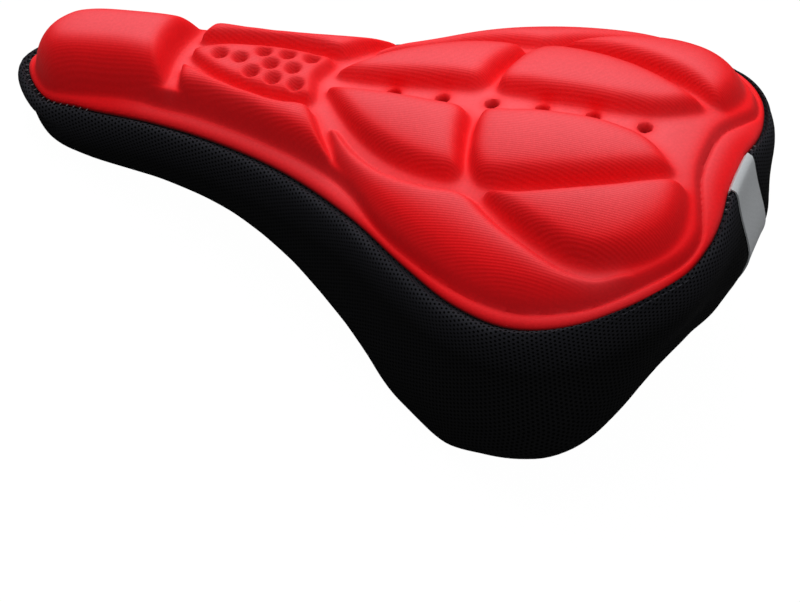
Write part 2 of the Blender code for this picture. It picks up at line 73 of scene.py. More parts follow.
# %% Lines of the whole top
MIDDLE_LINE = [
    (-142, -5.0), (-120, 1.0), (-100, 3.0), (-71, 3.9), (-45, 1.8), (-19, -0.2), (9, 0.0),
    (40, 1.1), (65, 1.9), (84, 1.8), (103, 0.2), (115, -1.6), (126, -5.3), (137, -12.0),
]
HEM_LIFT = [
    (-136, 0), (-114, 2.9), (-94, 7.9), (-79, 12.2), (-62, 15.7), (-46, 17.5), (-31, 16.8),
    (-17, 15.4), (-8, 13.6), (4, 11.4), (15, 7.0), (26, 0), (49.5, 0), (56, 3.2), (62, 7.5),
    (75, 15.5), (85, 22), (98, 30), (110, 38.5), (122, 46.5), (135, 54),
]
SEAM = [
    (-142.5, 0), (-139.0, 8.0), (-127.5, 18.0), (-111, 21.3), (-80, 24.3), (-46, 28.9),
    (-20, 35.8), (9, 49.0), (34, 63.3), (56, 73.6), (78, 77.9), (98, 74.2), (117, 63.3),
    (130, 48.5), (135.2, 33), (136.2, 22), (135.3, 10), (135.2, 0),
]
PLATFORM = [
    (-112, 0), (-106, 9), (-92, 15.6), (-80, 18.6), (-62, 20.2), (-40, 23.8), (-18, 29.6),
    (-3, 35.6), (7, 41.4), (21, 52.4), (36, 61), (57, 69.5), (78, 73.1), (96, 69.8),
    (109, 63.8), (121.5, 53.6), (129, 44), (131.8, 34), (129.8, 25), (126.2, 14),
    (125.2, 6), (125.1, 0),
]
print("whole top:", len(MIDDLE_LINE), "heights,", len(SEAM), "seam points")

# %% [markdown]
# ## Outlines of the pads
#
# Each pad is a closed loop, or half of one where the pad crosses the middle. The dimples and
# vents are only places, because round pins press them.

# %% Lines of the raised pads
NOSE = [
    (-137.8, 0), (-136.4, 6.4), (-132.8, 11.4), (-126, 16.2), (-116, 17.8), (-95, 17.9),
    (-80, 18.4), (-73.2, 18.2), (-74.4, 13), (-76.4, 6.5), (-77.2, 0),
]
NOSE_SIDES = NOSE[:7] + [(-60, 18.8), (-60, 0)]
SHIELD = [
    (-71.2, 0), (-69.8, 2.2), (-66.2, 4.4), (-60.6, 7.2), (-52, 9.7), (-42.5, 11.6),
    (-32.5, 12.4), (-23, 12.2), (-19.2, 11.4), (-18.8, 9.0), (-20.2, 4.5), (-21.4, 0),
]
SIDE_PAD = [
    (-71.4, 8.0), (-63, 10.3), (-54, 12.8), (-43, 14.9), (-30, 16.2), (-21, 15.6),
    (-17.6, 16.0), (-14.0, 19.9), (-10.0, 25.4), (-6.0, 30.2), (-3.4, 33.8), (-6.5, 33.4),
    (-17.4, 29.0), (-29, 25.8), (-40, 22.9), (-52, 20.7), (-60, 19.4), (-66.4, 18.8),
    (-69.0, 17.0), (-70.6, 12.5),
]
INNER_FRONT = [
    (-15.8, 4.4), (-8, 3.4), (4, 3.6), (16, 4.5), (28, 5.5), (38.6, 6.6), (41.4, 9.2),
    (43.0, 17), (45.2, 27), (46.9, 34.2), (44.6, 36.3), (38, 36.4), (30, 35.2), (21, 32.5),
    (10, 27.2), (1, 21.2), (-6, 15), (-12, 9),
]
INNER_REAR = [
    (46.4, 7.3), (58, 5.4), (71, 4.4), (84, 4.2), (96, 5.0), (107, 7.6), (114, 12.2),
    (119.0, 17.8), (114.5, 20.8), (104, 26), (92, 30.9), (80, 34.3), (68, 36.6), (58, 37.4),
    (52.8, 35.4), (49.0, 29.5), (46.6, 21), (45.4, 12.5),
]
OUTER_FRONT = [
    (-8.2, 21.8), (-5.6, 22.0), (0, 26.6), (8, 32.2), (18, 37.0), (29, 40.2), (40, 41.6),
    (48.5, 41.8), (54.5, 43.8), (60, 47.6), (67, 51.9), (76, 56.0), (86, 59.9), (96, 62.2),
    (105, 61.8), (114.5, 57.4), (116.6, 57.4), (108, 63.2), (96, 68.6), (78, 72.2),
    (57, 68.5), (36, 60.0), (21, 51.2), (7, 40.4), (-0.6, 33.8), (-4.4, 28.2),
]
OUTER_REAR = [
    (57.6, 41.2), (62, 40.4), (72, 39.8), (86, 36.6), (100, 32.2), (112, 26.9),
    (121, 22.2), (124.6, 22.4), (126.6, 27.4), (127.4, 34.7), (126.4, 41), (122, 48.8),
    (114, 54.6), (104, 58.2), (94, 58.4), (84, 55.6), (73, 51.0), (64, 45.9),
]
DIMPLES = [(-59.5, 0), (-51.5, 0), (-39.3, 0), (-30.5, 0), (-44.5, 5.9), (-35.5, 7.0),
           (-26.3, 7.6)]
VENTS = [(8.6 + 18.95 * k, 0) for k in range(6)]
print("dimples:", sum(2 if y else 1 for _, y in DIMPLES), "vents:", len(VENTS))

# %% [markdown]
# ## Smooth curves through few points
#
# A spline passes through the drawn points and turns smoothly between them. The centripetal kind
# is used, because it makes no loops where points crowd.

# %% Easing, lines and the smooth loop
SPLINE_STEPS = 24


def ease(value, start, end):
    """0 before start, 1 after end, and smooth between them."""
    t = np.clip((value - start) / (end - start), 0.0, 1.0)
    return t * t * (3 - 2 * t)


def lengths(line):
    """Distance travelled along a line at each of its points."""
    return np.r_[0, np.cumsum(np.linalg.norm(np.diff(line, axis=0), axis=1))]


def at_marks(line, travelled, marks):
    """Points of a line at given distances along it."""
    return np.stack([np.interp(marks, travelled, column) for column in line.T], -1)


def hermite(t, start, leave, end, reach):
    """Value at share t between two ends, with a given slope at each."""
    cube, square = t ** 3, t ** 2
    return (start * (2 * cube - 3 * square + 1) + leave * (cube - 2 * square + t)
            + end * (3 * square - 2 * cube) + reach * (cube - square))


def smooth_loop(outline, spacing):
    """Evenly spaced points of a smooth closed curve. A half from the middle is mirrored."""
    if outline[0][1] == 0:
        outline = outline + [(x, -y) for x, y in reversed(outline[1:-1])]
    knots = np.array(outline, float) * MM
    before, after = np.roll(knots, 1, 0), np.roll(knots, -1, 0)
    beyond = np.roll(knots, -2, 0)
    lead = np.sqrt(np.linalg.norm(knots - before, axis=1))[:, None]
    run = np.sqrt(np.linalg.norm(after - knots, axis=1))[:, None]
    trail = np.sqrt(np.linalg.norm(beyond - after, axis=1))[:, None]
    leave = (knots - before) / lead - (after - before) / (lead + run) + (after - knots) / run
    reach = (after - knots) / run - (beyond - knots) / (run + trail) + (beyond - after) / trail
    curve = [hermite(t, knots, leave * run, after, reach * run)
             for t in np.arange(SPLINE_STEPS) / SPLINE_STEPS]
    curve = np.stack(curve, 1).reshape(-1, 2)
    curve = np.vstack([curve, curve[:1]])
    travelled = lengths(curve)
    steps = max(12, round(travelled[-1] / spacing))
    return at_marks(curve, travelled, np.arange(steps) * travelled[-1] / steps)


OUTLINE_STEP = 1.0 * MM
seam_line = smooth_loop(SEAM, OUTLINE_STEP)
print("seam:", len(seam_line), "points")

# %% [markdown]
# ## The form of the top as a height map
#
# Foam that is pressed in one mould has no undercuts, so its whole top can be written as one
# height over each point of a plan. Under the pads lie two plain saddle forms, one for the
# platform and one for the rim, and both fall away to the sides.

# %% Plan grid, and the saddle forms under the pads
CELL = 0.45 * MM
grid_x = np.arange(-0.146, 0.141, CELL)
grid_y = np.arange(0.0, 0.084, CELL)
plan_x, plan_y = np.meshgrid(grid_x, grid_y, indexing="ij")
SADDLE_RADIUS = 0.114
NOSE_RIM_RADIUS = 0.0385
WING_RADIUS = 0.31
RIM_DROP = 2.5 * MM
WAIST, WAIST_LENGTH = -0.008, 0.024
NOSE_END, NOSE_BLEND = -0.045, 0.024

knots_x, knots_z = np.array(MIDDLE_LINE, float).T * MM
slopes = np.gradient(knots_z, knots_x)


def middle_height(x):
    """Height of the middle line, smooth through its drawn points."""
    x = np.clip(x, knots_x[0], knots_x[-1])
    i = np.clip(np.searchsorted(knots_x, x) - 1, 0, len(knots_x) - 2)
    run = knots_x[i + 1] - knots_x[i]
    return hermite((x - knots_x[i]) / run, knots_z[i], slopes[i] * run,
                   knots_z[i + 1], slopes[i + 1] * run)


def nose_share(x):
    """1 along the nose, 0 along the seat, and smooth between them."""
    return 1 / (1 + np.exp((x - NOSE_END) / NOSE_BLEND))


def platform_height(x, y):
    wings = np.exp(-((x - WAIST) / WAIST_LENGTH) ** 2)
    return middle_height(x) - (1 / SADDLE_RADIUS + wings / WING_RADIUS) * y ** 2 / 2


def rim_height(x, y):
    bend = 1 / SADDLE_RADIUS + nose_share(x) / NOSE_RIM_RADIUS
    return middle_height(x) - RIM_DROP - bend * y ** 2 / 2


print("plan grid:", plan_x.shape)

# %% [markdown]
# ## How deep a place lies inside an outline
#
# Every rounded edge depends on how far a place lies inside an outline. It is the shortest
# distance to the loop's sides, and counting the sides that are crossed tells inside from
# outside. A round brush softens a field as fabric does over foam.

# %% Distance inside an outline, and the brush


def depth_map(loop, x, y):
    """Distance from each point to a closed loop, positive inside it."""
    start, end = loop, np.roll(loop, -1, 0)
    side = end - start
    length = (side ** 2).sum(1)
    shape, x, y = x.shape, x.ravel(), y.ravel()
    nearest = np.full(x.shape, 1.0)
    inside = np.zeros(x.shape, bool)
    for a, b, s, l in zip(start, end, side, length):
        dx, dy = x - a[0], y - a[1]
        t = np.clip((dx * s[0] + dy * s[1]) / l, 0, 1)
        nearest = np.minimum(nearest, (dx - s[0] * t) ** 2 + (dy - s[1] * t) ** 2)
        if a[1] != b[1]:
            crosses = ((a[1] > y) != (b[1] > y)) & (x < a[0] + dy * s[0] / s[1])
            inside ^= crosses
    return (np.sqrt(nearest) * np.where(inside, 1, -1)).reshape(shape)


def blurred(field, sigma):
    """The field softened by a round brush of sigma metres, the same across the middle."""
    reach = math.ceil(2.5 * sigma / CELL)
    steps = np.arange(-reach, reach + 1)
    weights = np.exp(-0.5 * (steps * CELL / sigma) ** 2)
    weights /= weights.sum()
    for axis in (0, 1):
        pad = [(reach, reach) if k == axis else (0, 0) for k in (0, 1)]
        wide = np.pad(field, pad, mode="reflect" if axis else "edge")
        size = field.shape[axis]
        field = sum(w * np.take(wide, np.arange(k, k + size), axis)
                    for k, w in enumerate(weights))
    return field


print("depth in the middle:", depth_map(seam_line, *np.zeros((2, 1))).round(3), "m")

# %% [markdown]
# ## The dome of a pad
#
# A pad is domed as a skin under even pressure is. The membrane starts flat, and each cell moves
# to the mean of its neighbours plus a push, again and again. It leaves no ridge along the middle
# of a pad, as the plain distance from the outline would. It is worked out on a coarser grid.

# %% The settled membrane and the rounded edge


def between_cells(field, i, j):
    """Value of a field at fractional rows and columns, by straight lines between its cells."""
    a, b = (np.minimum(k.astype(int), n - 2) for k, n in zip((i, j), field.shape))
    u, v = np.clip(i - a, 0, 1), np.clip(j - b, 0, 1)
    return (field[a, b] * (1 - u) * (1 - v) + field[a + 1, b] * u * (1 - v)
            + field[a, b + 1] * (1 - u) * v + field[a + 1, b + 1] * u * v)


def membrane(depth, every=4, rounds=420):
    """A dome from 0 at the outline to 1, like a skin that even pressure lifts."""
    inside = depth[::every, ::every] > 0.3 * MM
    lift = np.zeros(inside.shape)
    for _ in range(rounds):
        wide = np.pad(lift, 1)
        wide[:, 0] = wide[:, 2]
        around = wide[2:, 1:-1] + wide[:-2, 1:-1] + wide[1:-1, 2:] + wide[1:-1, :-2]
        lift = np.where(inside, around / 4 + 1, 0.0)
    lift = np.sqrt(lift / lift.max())
    rows, columns = (np.arange(n) / every for n in depth.shape)
    return between_cells(lift, rows[:, None], columns[None, :])


def round_over(t):
    t = np.clip(t, 0, 1)
    return np.sqrt(1 - (1 - t) ** 2)


print("rounded edge, half way in:", round_over(0.5).round(2))

# %% [markdown]
# ## Rim and platform
#
# Along the seam runs a low rim with a soft bead. The platform stands a little above it, rolls
# over at its edge, and is parted from it by a pressed crease, which is deepest at the rear.

# %% Lay the rim and the platform
platform = platform_height(plan_x, plan_y)
rim = rim_height(plan_x, plan_y)
seam_depth = depth_map(seam_line, plan_x, plan_y)
platform_depth = depth_map(smooth_loop(PLATFORM, 1.2 * MM), plan_x, plan_y)
RIM_REACH, RIM_SLOPE, RIM_SLOPE_MOST = 7 * MM, 0.30, 0.27
fall = plan_y * (1 / SADDLE_RADIUS + nose_share(plan_x) / NOSE_RIM_RADIUS)
flat_rim = rim - np.clip(seam_depth, 0, RIM_REACH) * np.clip(fall - RIM_SLOPE, 0, RIM_SLOPE_MOST)
width = seam_depth - platform_depth
share = np.clip(seam_depth / np.maximum(width, 1.5 * MM), 0, 1)
BEAD, FOLD_PLACE, FOLD_WIDTH = 0.8 * MM, -0.6 * MM, 0.65 * MM
bead = BEAD * np.sin(np.pi * share) * ease(width, 2 * MM, 9 * MM)
fold = np.exp(-((platform_depth - FOLD_PLACE) / FOLD_WIDTH) ** 2)
crease = (1.0 + 0.8 * ease(plan_x, 0.08, 0.11)) * MM * fold
height = flat_rim + bead - crease
EDGE_ROLL, EDGE_SHARE, EDGE_BLEND = 1.6 * MM, 0.30, 0.4 * MM
on_platform = ease(platform_depth, -EDGE_BLEND, EDGE_BLEND)
rolled = 1 - round_over(platform_depth / EDGE_ROLL)
rolled_edge = platform - EDGE_SHARE * (platform - rim) * rolled
height = height + (rolled_edge - height) * on_platform
print("rim is", round(RIM_DROP * 1000, 1), "mm under the platform in the middle")

# %% [markdown]
# ## Raise the pads
#
# Each row of the table is one pad. The shoulder is how far in from its outline a pad is still
# rounding over, and the share of the dome is how much of its rise the membrane gives. The nose
# ends in a steep, bowed step of its own. Where two pads meet, the higher one shows.

# %% Raise the pads
PADS = [
    # outline, rise, shoulder, shoulder at the rim, share of the dome, foot
    (NOSE, 12.8, 12.0, 0, 0.34, flat_rim),
    (SHIELD, 5.0, 2.6, 0, 0.10, platform),
    (SIDE_PAD, 7.2, 3.0, 7.5, 0.30, platform),
    (INNER_FRONT, 8.2, 4.6, 0, 0.45, platform),
    (INNER_REAR, 8.4, 4.8, 0, 0.45, platform),
    (OUTER_FRONT, 6.7, 4.8, 16.0, 0.35, platform),
    (OUTER_REAR, 9.6, 4.6, 12.0, 0.40, platform),
]
NOSE_BOW, NOSE_HALF_WIDTH, NOSE_END_SHOULDER = 4.0 * MM, 18.2 * MM, 6.0 * MM
NOSE_RIBS, FULL_RIBS = 0.45, 5 * MM
raised = np.zeros(height.shape)
for outline, rise, shoulder, rim_shoulder, dome, foot in PADS:
    depth = depth_map(smooth_loop(outline, OUTLINE_STEP), plan_x, plan_y)
    edge = round_over(depth / (shoulder * MM))
    if outline is NOSE:
        sides = depth_map(smooth_loop(NOSE_SIDES, OUTLINE_STEP), plan_x, plan_y)
        end_gap = NOSE[-1][0] * MM + NOSE_BOW * (plan_y / NOSE_HALF_WIDTH) ** 2 - plan_x
        edge = round_over(sides / (shoulder * MM)) * round_over(end_gap / NOSE_END_SHOULDER)
    if rim_shoulder:
        edge = edge * round_over((platform_depth + EDGE_BLEND) / (rim_shoulder * MM))
    body = (platform + rise * (1 - dome) * MM - foot) * edge
    body = body + rise * dome * MM * membrane(depth) * edge
    height = np.where(depth > 0, np.maximum(height, foot + body), height)
    ribs = (NOSE_RIBS if outline is NOSE else 1.0) * np.clip(body / FULL_RIBS, 0, 1)
    raised = np.maximum(raised, np.where(depth > 0, ribs, 0))
print("highest point:", (height.max() / MM).round(1), "mm")

# %% [markdown]
# ## Dimples, vents and soft edges
#
# Fabric over foam has no sharp edge, so the whole map is softened, and the small holes are
# pressed afterwards to stay crisp. The fields for the finish are made beside the height: how
# proud the ribs stand, where a hole or fold gets painted shade, and where the top is level and
# gets a painted highlight.

# %% Press the holes and soften the edges
SOFTNESS = 0.52 * MM
LEVEL, STEEP = 0.08, 0.85
HOLES = [
    # places, end of the bottom, end of the wall, depth, how much painted shade
    (DIMPLES, 0.3, 3.9, 3.7, 0.5),
    (VENTS, 1.3, 2.8, 4.2, 1.0),
]
height = blurred(height, SOFTNESS)
# Painted shade: the rear crease, and below it the dimples and vents, are marked to be painted
# darker red.
painted_hollow_shade = 0.45 * fold * ease(plan_x, 0.03, 0.10)
for places, bottom, wall, deep, painted_shade in HOLES:
    for x, y in places:
        away = np.hypot(plan_x - x * MM, plan_y - y * MM)
        hollow = 1 - ease(away, bottom * MM, wall * MM)
        height = height - deep * MM * hollow
        painted_hollow_shade = np.maximum(painted_hollow_shade, painted_shade * hollow)
EDGE_FALL, EDGE_RADIUS = 1.3 * MM, 1.8 * MM
edge_fall = EDGE_FALL * (1 - round_over(seam_depth / EDGE_RADIUS))
height = height - np.where(seam_depth < EDGE_RADIUS, edge_fall, 0)
raised = blurred(raised, 0.9 * MM)
slope = np.hypot(*np.gradient(blurred(height, 0.9 * MM), CELL))
# Level places get a painted highlight: the red knit is painted paler pink there.
level = blurred(1 - ease(slope, LEVEL, STEEP), 1.6 * MM)
print("share of the plan that is level:", level[seam_depth > 0].mean().round(2))


def sample(field, x, y):
    """Value of a plan field at points, the same on both sides of the middle."""
    return between_cells(field, np.clip((x - grid_x[0]) / CELL, 0, len(grid_x) - 1.001),
                         np.clip(np.abs(y) / CELL, 0, len(grid_y) - 1.001))


# %% [markdown]
# ## The red top
#
# The top is a mesh whose points are moved in code, the way a sculptor would push them. A grid
# primitive is bent to fill the seam outline: its four sides become the nose, the two flanks and
# the rear. Each point then takes its height from the map.

# %% Grid helpers
CORNERS = ((-129.5, 16.6), (124.5, 56.5))


def unit_grid(name, columns, rows):
    """Grid primitive, and how far each of its points lies along and across it, from 0 to 1."""
    bpy.ops.object.select_all(action="DESELECT")
    bpy.ops.mesh.primitive_grid_add(x_subdivisions=columns, y_subdivisions=rows, size=1)
    piece = bpy.context.object
    piece.name = name
    co = np.empty(len(piece.data.vertices) * 3)
    piece.data.vertices.foreach_get("co", co)
    along, across = co.reshape(-1, 3)[:, :2].T + 0.5
    return piece, along, across


def set_points(piece, points):
    piece.data.vertices.foreach_set("co", np.ascontiguousarray(points, float).ravel())
    piece.data.update()


def four_sides(long_count, cross_count):
    """Points of the four sides of the outline: nose, left flank, rear, right flank."""
    fine = smooth_loop(SEAM, 0.4 * MM)
    upper = fine[fine[:, 1] >= 0]
    upper = upper[np.argsort(np.arctan2(upper[:, 1], upper[:, 0] + 0.02))[::-1]]
    upper[0, 1] = upper[-1, 1] = 0.0
    cuts = [np.argmin(np.linalg.norm(upper - np.array(c) * MM, axis=1)) for c in CORNERS]

    def evenly(line, count):
        travelled = lengths(line)
        return at_marks(line, travelled, np.linspace(0, travelled[-1], count))

    half = cross_count // 2 + 1
    nose = evenly(upper[:cuts[0] + 1], half)
    flank = evenly(upper[cuts[0]:cuts[1] + 1], long_count)
    rear = evenly(upper[cuts[1]:], half)[::-1]
    flip = np.array([1, -1])
    nose = np.vstack([nose[::-1][:-1], nose * flip])[::-1]
    rear = np.vstack([rear[::-1][:-1], rear * flip])[::-1]
    return nose, rear, flank * flip, flank


def bent_grid(name, long_count, cross_count):
    """Grid primitive, and the plan of its points bent to fill the outline."""
    piece, u, v = unit_grid(name, long_count - 1, cross_count - 1)
    nose, rear, low, high = four_sides(long_count, cross_count)
    i = np.rint(u * (long_count - 1)).astype(int)
    j = np.rint(v * (cross_count - 1)).astype(int)
    u, v = u[:, None], v[:, None]
    sides = low[i] * (1 - v) + high[i] * v
    ends = nose[j] * (1 - u) + rear[j] * u
    corners = (nose[0] * (1 - u) * (1 - v) + nose[-1] * (1 - u) * v
               + rear[0] * u * (1 - v) + rear[-1] * u * v)
    return piece, sides + ends - corners


print("points of four sides:", [len(side) for side in four_sides(5, 5)])

# %% Bend a grid to the outline and lift it
LONG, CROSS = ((401, 211))
red_top, plan = bent_grid("red_top", LONG, CROSS)
heights = sample(height, plan[:, 0], plan[:, 1])
set_points(red_top, np.column_stack([plan, heights]))
on_pad = sample(raised, plan[:, 0], plan[:, 1])
hollow_shade_here = sample(painted_hollow_shade, plan[:, 0], plan[:, 1])
level_highlight_mask = sample(level, plan[:, 0], plan[:, 1])
print("top surface:", len(red_top.data.vertices), "points")

# %% [markdown]
# ## The underside
#
# A coarser grid is the lining, bridged to the top round the edge. It is smooth, and the pad is
# thin along the seam, where a needle has to get through and the skirt's edge is lapped under.

# %% Underside and edge of the top
EDGE_THICKNESS, BASE_THICKNESS = 2.6 * MM, 5.5 * MM
LAP = 6 * MM
lining, plan = bent_grid("lining", (LONG - 1) // 4 + 1, (CROSS - 1) // 8 * 2 + 1)
deep = sample(seam_depth, plan[:, 0], plan[:, 1])
thick = EDGE_THICKNESS + (BASE_THICKNESS - EDGE_THICKNESS) * ease(deep, LAP, LAP + 14 * MM)
under = np.minimum(rim_height(plan[:, 0], plan[:, 1]) - thick,
                   sample(height, plan[:, 0], plan[:, 1]) - 1.2 * MM)
set_points(lining, np.column_stack([plan, under]))


def add_value(piece, name, values):
    piece.data.attributes.new(name, "FLOAT", "POINT").data.foreach_set("value", values)


for name, values in (("on_pad", on_pad), ("painted_hollow_shade", hollow_shade_here), ("level", level_highlight_mask)):
    add_value(red_top, name, values)
    add_value(lining, name, np.zeros(len(plan)))
add_value(red_top, "lining", np.zeros(len(on_pad)))
add_value(lining, "lining", np.ones(len(plan)))
bpy.ops.object.select_all(action="DESELECT")
red_top.select_set(True)
lining.select_set(True)
bpy.context.view_layer.objects.active = red_top
bpy.ops.object.join()
bpy.ops.object.mode_set(mode="EDIT")
bpy.ops.mesh.select_mode(type="EDGE")
bpy.ops.mesh.select_all(action="DESELECT")
bpy.ops.mesh.select_non_manifold()
bpy.ops.mesh.bridge_edge_loops()
bpy.ops.mesh.select_all(action="SELECT")
bpy.ops.mesh.normals_make_consistent(inside=False)
bpy.ops.object.mode_set(mode="OBJECT")
bpy.ops.object.shade_smooth_by_angle(angle=math.radians(50))
red_top.data.transform(tip)
print("red top:", len(red_top.data.polygons), "faces")

# %% [markdown]
# ## The black skirt
#
# The skirt is one strip of spacer mesh. A loft makes it: a cross-section is drawn at many
# stations round the seam, each in its own upright plane, and a grid primitive is bent through
# all of them. Solidify gives it the thickness of the cloth.

# %% Stations round the seam
FABRIC = 1.8 * MM
STATIONS = 300
order = np.argmin(np.abs(seam_line[:, 1]) + 10 * (seam_line[:, 0] < 0))
ring = np.roll(seam_line, -order, 0)
if ring[3, 1] < 0:
    ring = np.roll(ring[::-1], 1, 0)
closed = np.vstack([ring, ring[:1]])
travelled = lengths(closed)
SEAM_LENGTH = travelled[-1]


def on_seam(distance):
    return at_marks(closed, travelled, np.mod(distance, SEAM_LENGTH))


def seam_outward(distance, reach=7 * MM):
    """Direction out of the seam, as the mean over a short stretch."""
    along = on_seam(distance + reach) - on_seam(distance - reach)
    along /= np.linalg.norm(along, axis=-1, keepdims=True)
    return np.stack([along[..., 1], -along[..., 0]], -1)


print("seam length", round(SEAM_LENGTH * 1000), "mm")

# %% [markdown]
# ## The hem line and the flare
#
# The cloth follows the saddle: it stands out below the wings, is drawn in at the rear, and its
# hem rises over the rails and towards the back.

# %% Hem line and flare
HEM = np.array(HEM_LIFT, float) * MM
ELASTIC_RADIUS = 1.5 * MM
CHANNEL = ELASTIC_RADIUS + 1.1 * MM + FABRIC
ROLL_OUT, ROLL_DROP = 6.4 * MM, 7.8 * MM
NOSE_LESS, REAR_LESS, CORNER_LESS = 1.0 * MM, 2.4 * MM, 3.2 * MM
UNDER_STRIP, NOSE_PINCH = 1.0 * MM, 4.2 * MM
FOLD_INSET, FOLD_HEIGHT, HEM_FLAT = 4.0 * MM, 6.2 * MM, 4.0 * MM
TURN_STEPS, TURN_DEGREES = 9, 26


def hem_lift(x):
    """How far the hem is raised at x, as the mean over a short stretch."""
    return sum(np.interp(x + s * MM, *HEM.T) for s in (-4, -2, 0, 2, 4)) / 5


def flare(x, y):
    """How far the foot stands out from the seam: out at the sides, drawn in at the rear."""
    out = 3.6 * MM + 8.9 * MM * ease(x, -0.100, 0.040)
    drawn = 9 * MM - 4 * MM * (1 - ease(np.abs(y), 0.012, 0.040))
    rear = ease(x, 0.084, 0.133)
    return out * (1 - rear) - drawn * rear


print("flare at the wing:", (flare(0.06, 0.074) / MM).round(1), "mm")

# %% [markdown]
# ## One cross-section
#
# From the lap under the top, the cloth runs out to the seam, rolls over, hangs down with a
# slight belly, folds under and turns back round the elastic. The roll is slimmer at the nose
# and at the rear, and lies flat under the strip.

# %% Cross-section of the skirt


def skirt_points(distance):
    """Points of the outer face at one distance round the seam, from the lap to the hem."""
    (x, y), outward = on_seam(distance), seam_outward(distance)
    rim_z = rim_height(x, y)
    rear = ease(x, 0.084, 0.133)
    roll = ROLL_OUT - NOSE_LESS * (1 - ease(x, -0.120, -0.040)) - REAR_LESS * rear
    roll -= CORNER_LESS * ease(abs(y), 0.030, 0.062) * ease(x, 0.060, 0.100)
    from_strip = min(distance % SEAM_LENGTH, SEAM_LENGTH - distance % SEAM_LENGTH)
    sunk = UNDER_STRIP * (1 - ease(from_strip, 0.0095, 0.0125))
    pinch = NOSE_PINCH * (1 - ease(x, -0.138, -0.112))
    foot = flare(x, y)
    level = HEM_HEIGHT + HEM_SLOPE * x + hem_lift(x)
    reach = 8 * MM
    climb = hem_lift(x - outward[1] * reach) - hem_lift(x + outward[1] * reach)
    along = Vector((-outward[1], outward[0], climb / (2 * reach) - HEM_SLOPE * outward[1]))
    out3 = Vector((outward[0], outward[1], HEM_SLOPE * outward[0]))
    up = out3.cross(along).normalized()

    def at(out, z):
        return Vector((x + outward[0] * out, y + outward[1] * out, z))

    def over_hem(out, rise):
        point = at(out, 0)
        point.z = level + HEM_SLOPE * outward[0] * out
        return point + up * rise

    under = rim_z - EDGE_THICKNESS - 0.5 * MM
    inner = rim_height(x - outward[0] * LAP, y - outward[1] * LAP)
    points = [at(-LAP, inner - EDGE_THICKNESS - 0.5 * MM), at(-3 * MM, 0), at(0.4 * MM, under)]
    points[1].z = (points[0].z + points[2].z) / 2
    for out, drop in ((0.24, 0.26), (0.40, 0.10), (0.55, 0.06), (0.76, 0.20), (0.92, 0.47),
                      (1.0, 0.85)):
        in_roll = sunk * out + 0.3 * pinch * max(0.0, 2.5 * drop - 1.5)
        points.append(at(roll * out - in_roll, rim_z - ROLL_DROP * drop))
    start, end = points[-1], over_hem(foot, FOLD_HEIGHT)
    belly = (2.6 + 5.2 * (1 - ease(abs(y), 0.010, 0.034))) * MM * rear
    for s in (0.14, 0.3, 0.46, 0.62, 0.8):
        out = roll + (foot - roll) * ease(s, 0, 1) + belly * math.sin(math.pi * s ** 1.7)
        out -= sunk * (1 - s) + pinch * math.sin(math.pi * s)
        points.append(at(out, start.z + (end.z - start.z) * s))
    points += [end, over_hem(foot - 0.3 * FOLD_INSET, 0.35 * FOLD_HEIGHT),
               over_hem(foot - 0.62 * FOLD_INSET, 0.1 * FOLD_HEIGHT),
               over_hem(foot - FOLD_INSET, 0)]
    centre = foot - FOLD_INSET - HEM_FLAT
    for k in range(TURN_STEPS):
        angle = math.radians(-90 - TURN_DEGREES * k)
        points.append(over_hem(centre + CHANNEL * math.cos(angle),
                               CHANNEL * (1 + math.sin(angle))))
    return points, over_hem(centre, CHANNEL)


points, _ = skirt_points(0.0)
print("one cross-section has", len(points), "drawn points")

# %% Draw all the cross-sections


def along_curve(points, count):
    """Evenly spaced points on a smooth curve through points, with their distances."""
    p = np.array([tuple(q) for q in points])
    wide = np.vstack([2 * p[0] - p[1], p, 2 * p[-1] - p[-2]])
    before, here, after, beyond = wide[:-3], wide[1:-2], wide[2:-1], wide[3:]
    curve = [hermite(t, here, (after - before) / 2, after, (beyond - here) / 2)
             for t in np.arange(6) / 6]
    curve = np.vstack([np.stack(curve, 1).reshape(-1, 3), p[-1:]])
    gone = lengths(curve)
    marks = np.linspace(0, gone[-1], count)
    return at_marks(curve, gone, marks), marks


ROWS = 54
rings, run_marks, cord_line = [], [], []
for k in range(STATIONS + 1):
    points, core = skirt_points(SEAM_LENGTH * (k % STATIONS) / STATIONS)
    line, marks = along_curve(points, ROWS)
    rings.append(line)
    run_marks.append(marks)
    cord_line.append(core)
rings, run_marks = np.array(rings), np.array(run_marks)
depths = [(depth / MM).round() for depth in (run_marks.max(), run_marks[:, -1].min())]
print("depth of the skirt at the wings and at its narrowest:", depths, "mm")

# %% [markdown]
# ## From cross-sections to cloth
#
# The grid's columns take the stations and its rows take the points of the cross-sections. The
# cloth's own map is written at the same time, in metres, so that a weave follows the cloth.

# %% Bend a grid through the stations


def merge_and_face_out(piece, axis):
    """Join the active sheet where it meets itself, and turn its faces outwards."""
    bpy.ops.object.mode_set(mode="EDIT")
    bpy.ops.mesh.select_all(action="SELECT")
    bpy.ops.mesh.remove_doubles(threshold=0.05 * MM)
    bpy.ops.mesh.normals_make_consistent(inside=False)
    bpy.ops.object.mode_set(mode="OBJECT")
    if max(piece.data.polygons, key=lambda face: face.center[axis]).normal[axis] < 0:
        piece.data.flip_normals()


def write_map(piece, u, v):
    """Write the cloth's own map, in metres, from a value of u and v for each point."""
    corners = np.empty(len(piece.data.loops), int)
    piece.data.loops.foreach_get("vertex_index", corners)
    piece.data.uv_layers[0].data.foreach_set("uv", np.stack([u, v], 1)[corners].ravel())
    piece.data.uv_layers[0].name = "cloth"


def thicken(piece, name, thickness, offset):
    """Give a sheet the thickness of its cloth."""
    cloth = piece.modifiers.new(name, "SOLIDIFY")
    cloth.thickness = thickness
    cloth.offset = offset
    bpy.ops.object.modifier_apply(modifier=cloth.name)


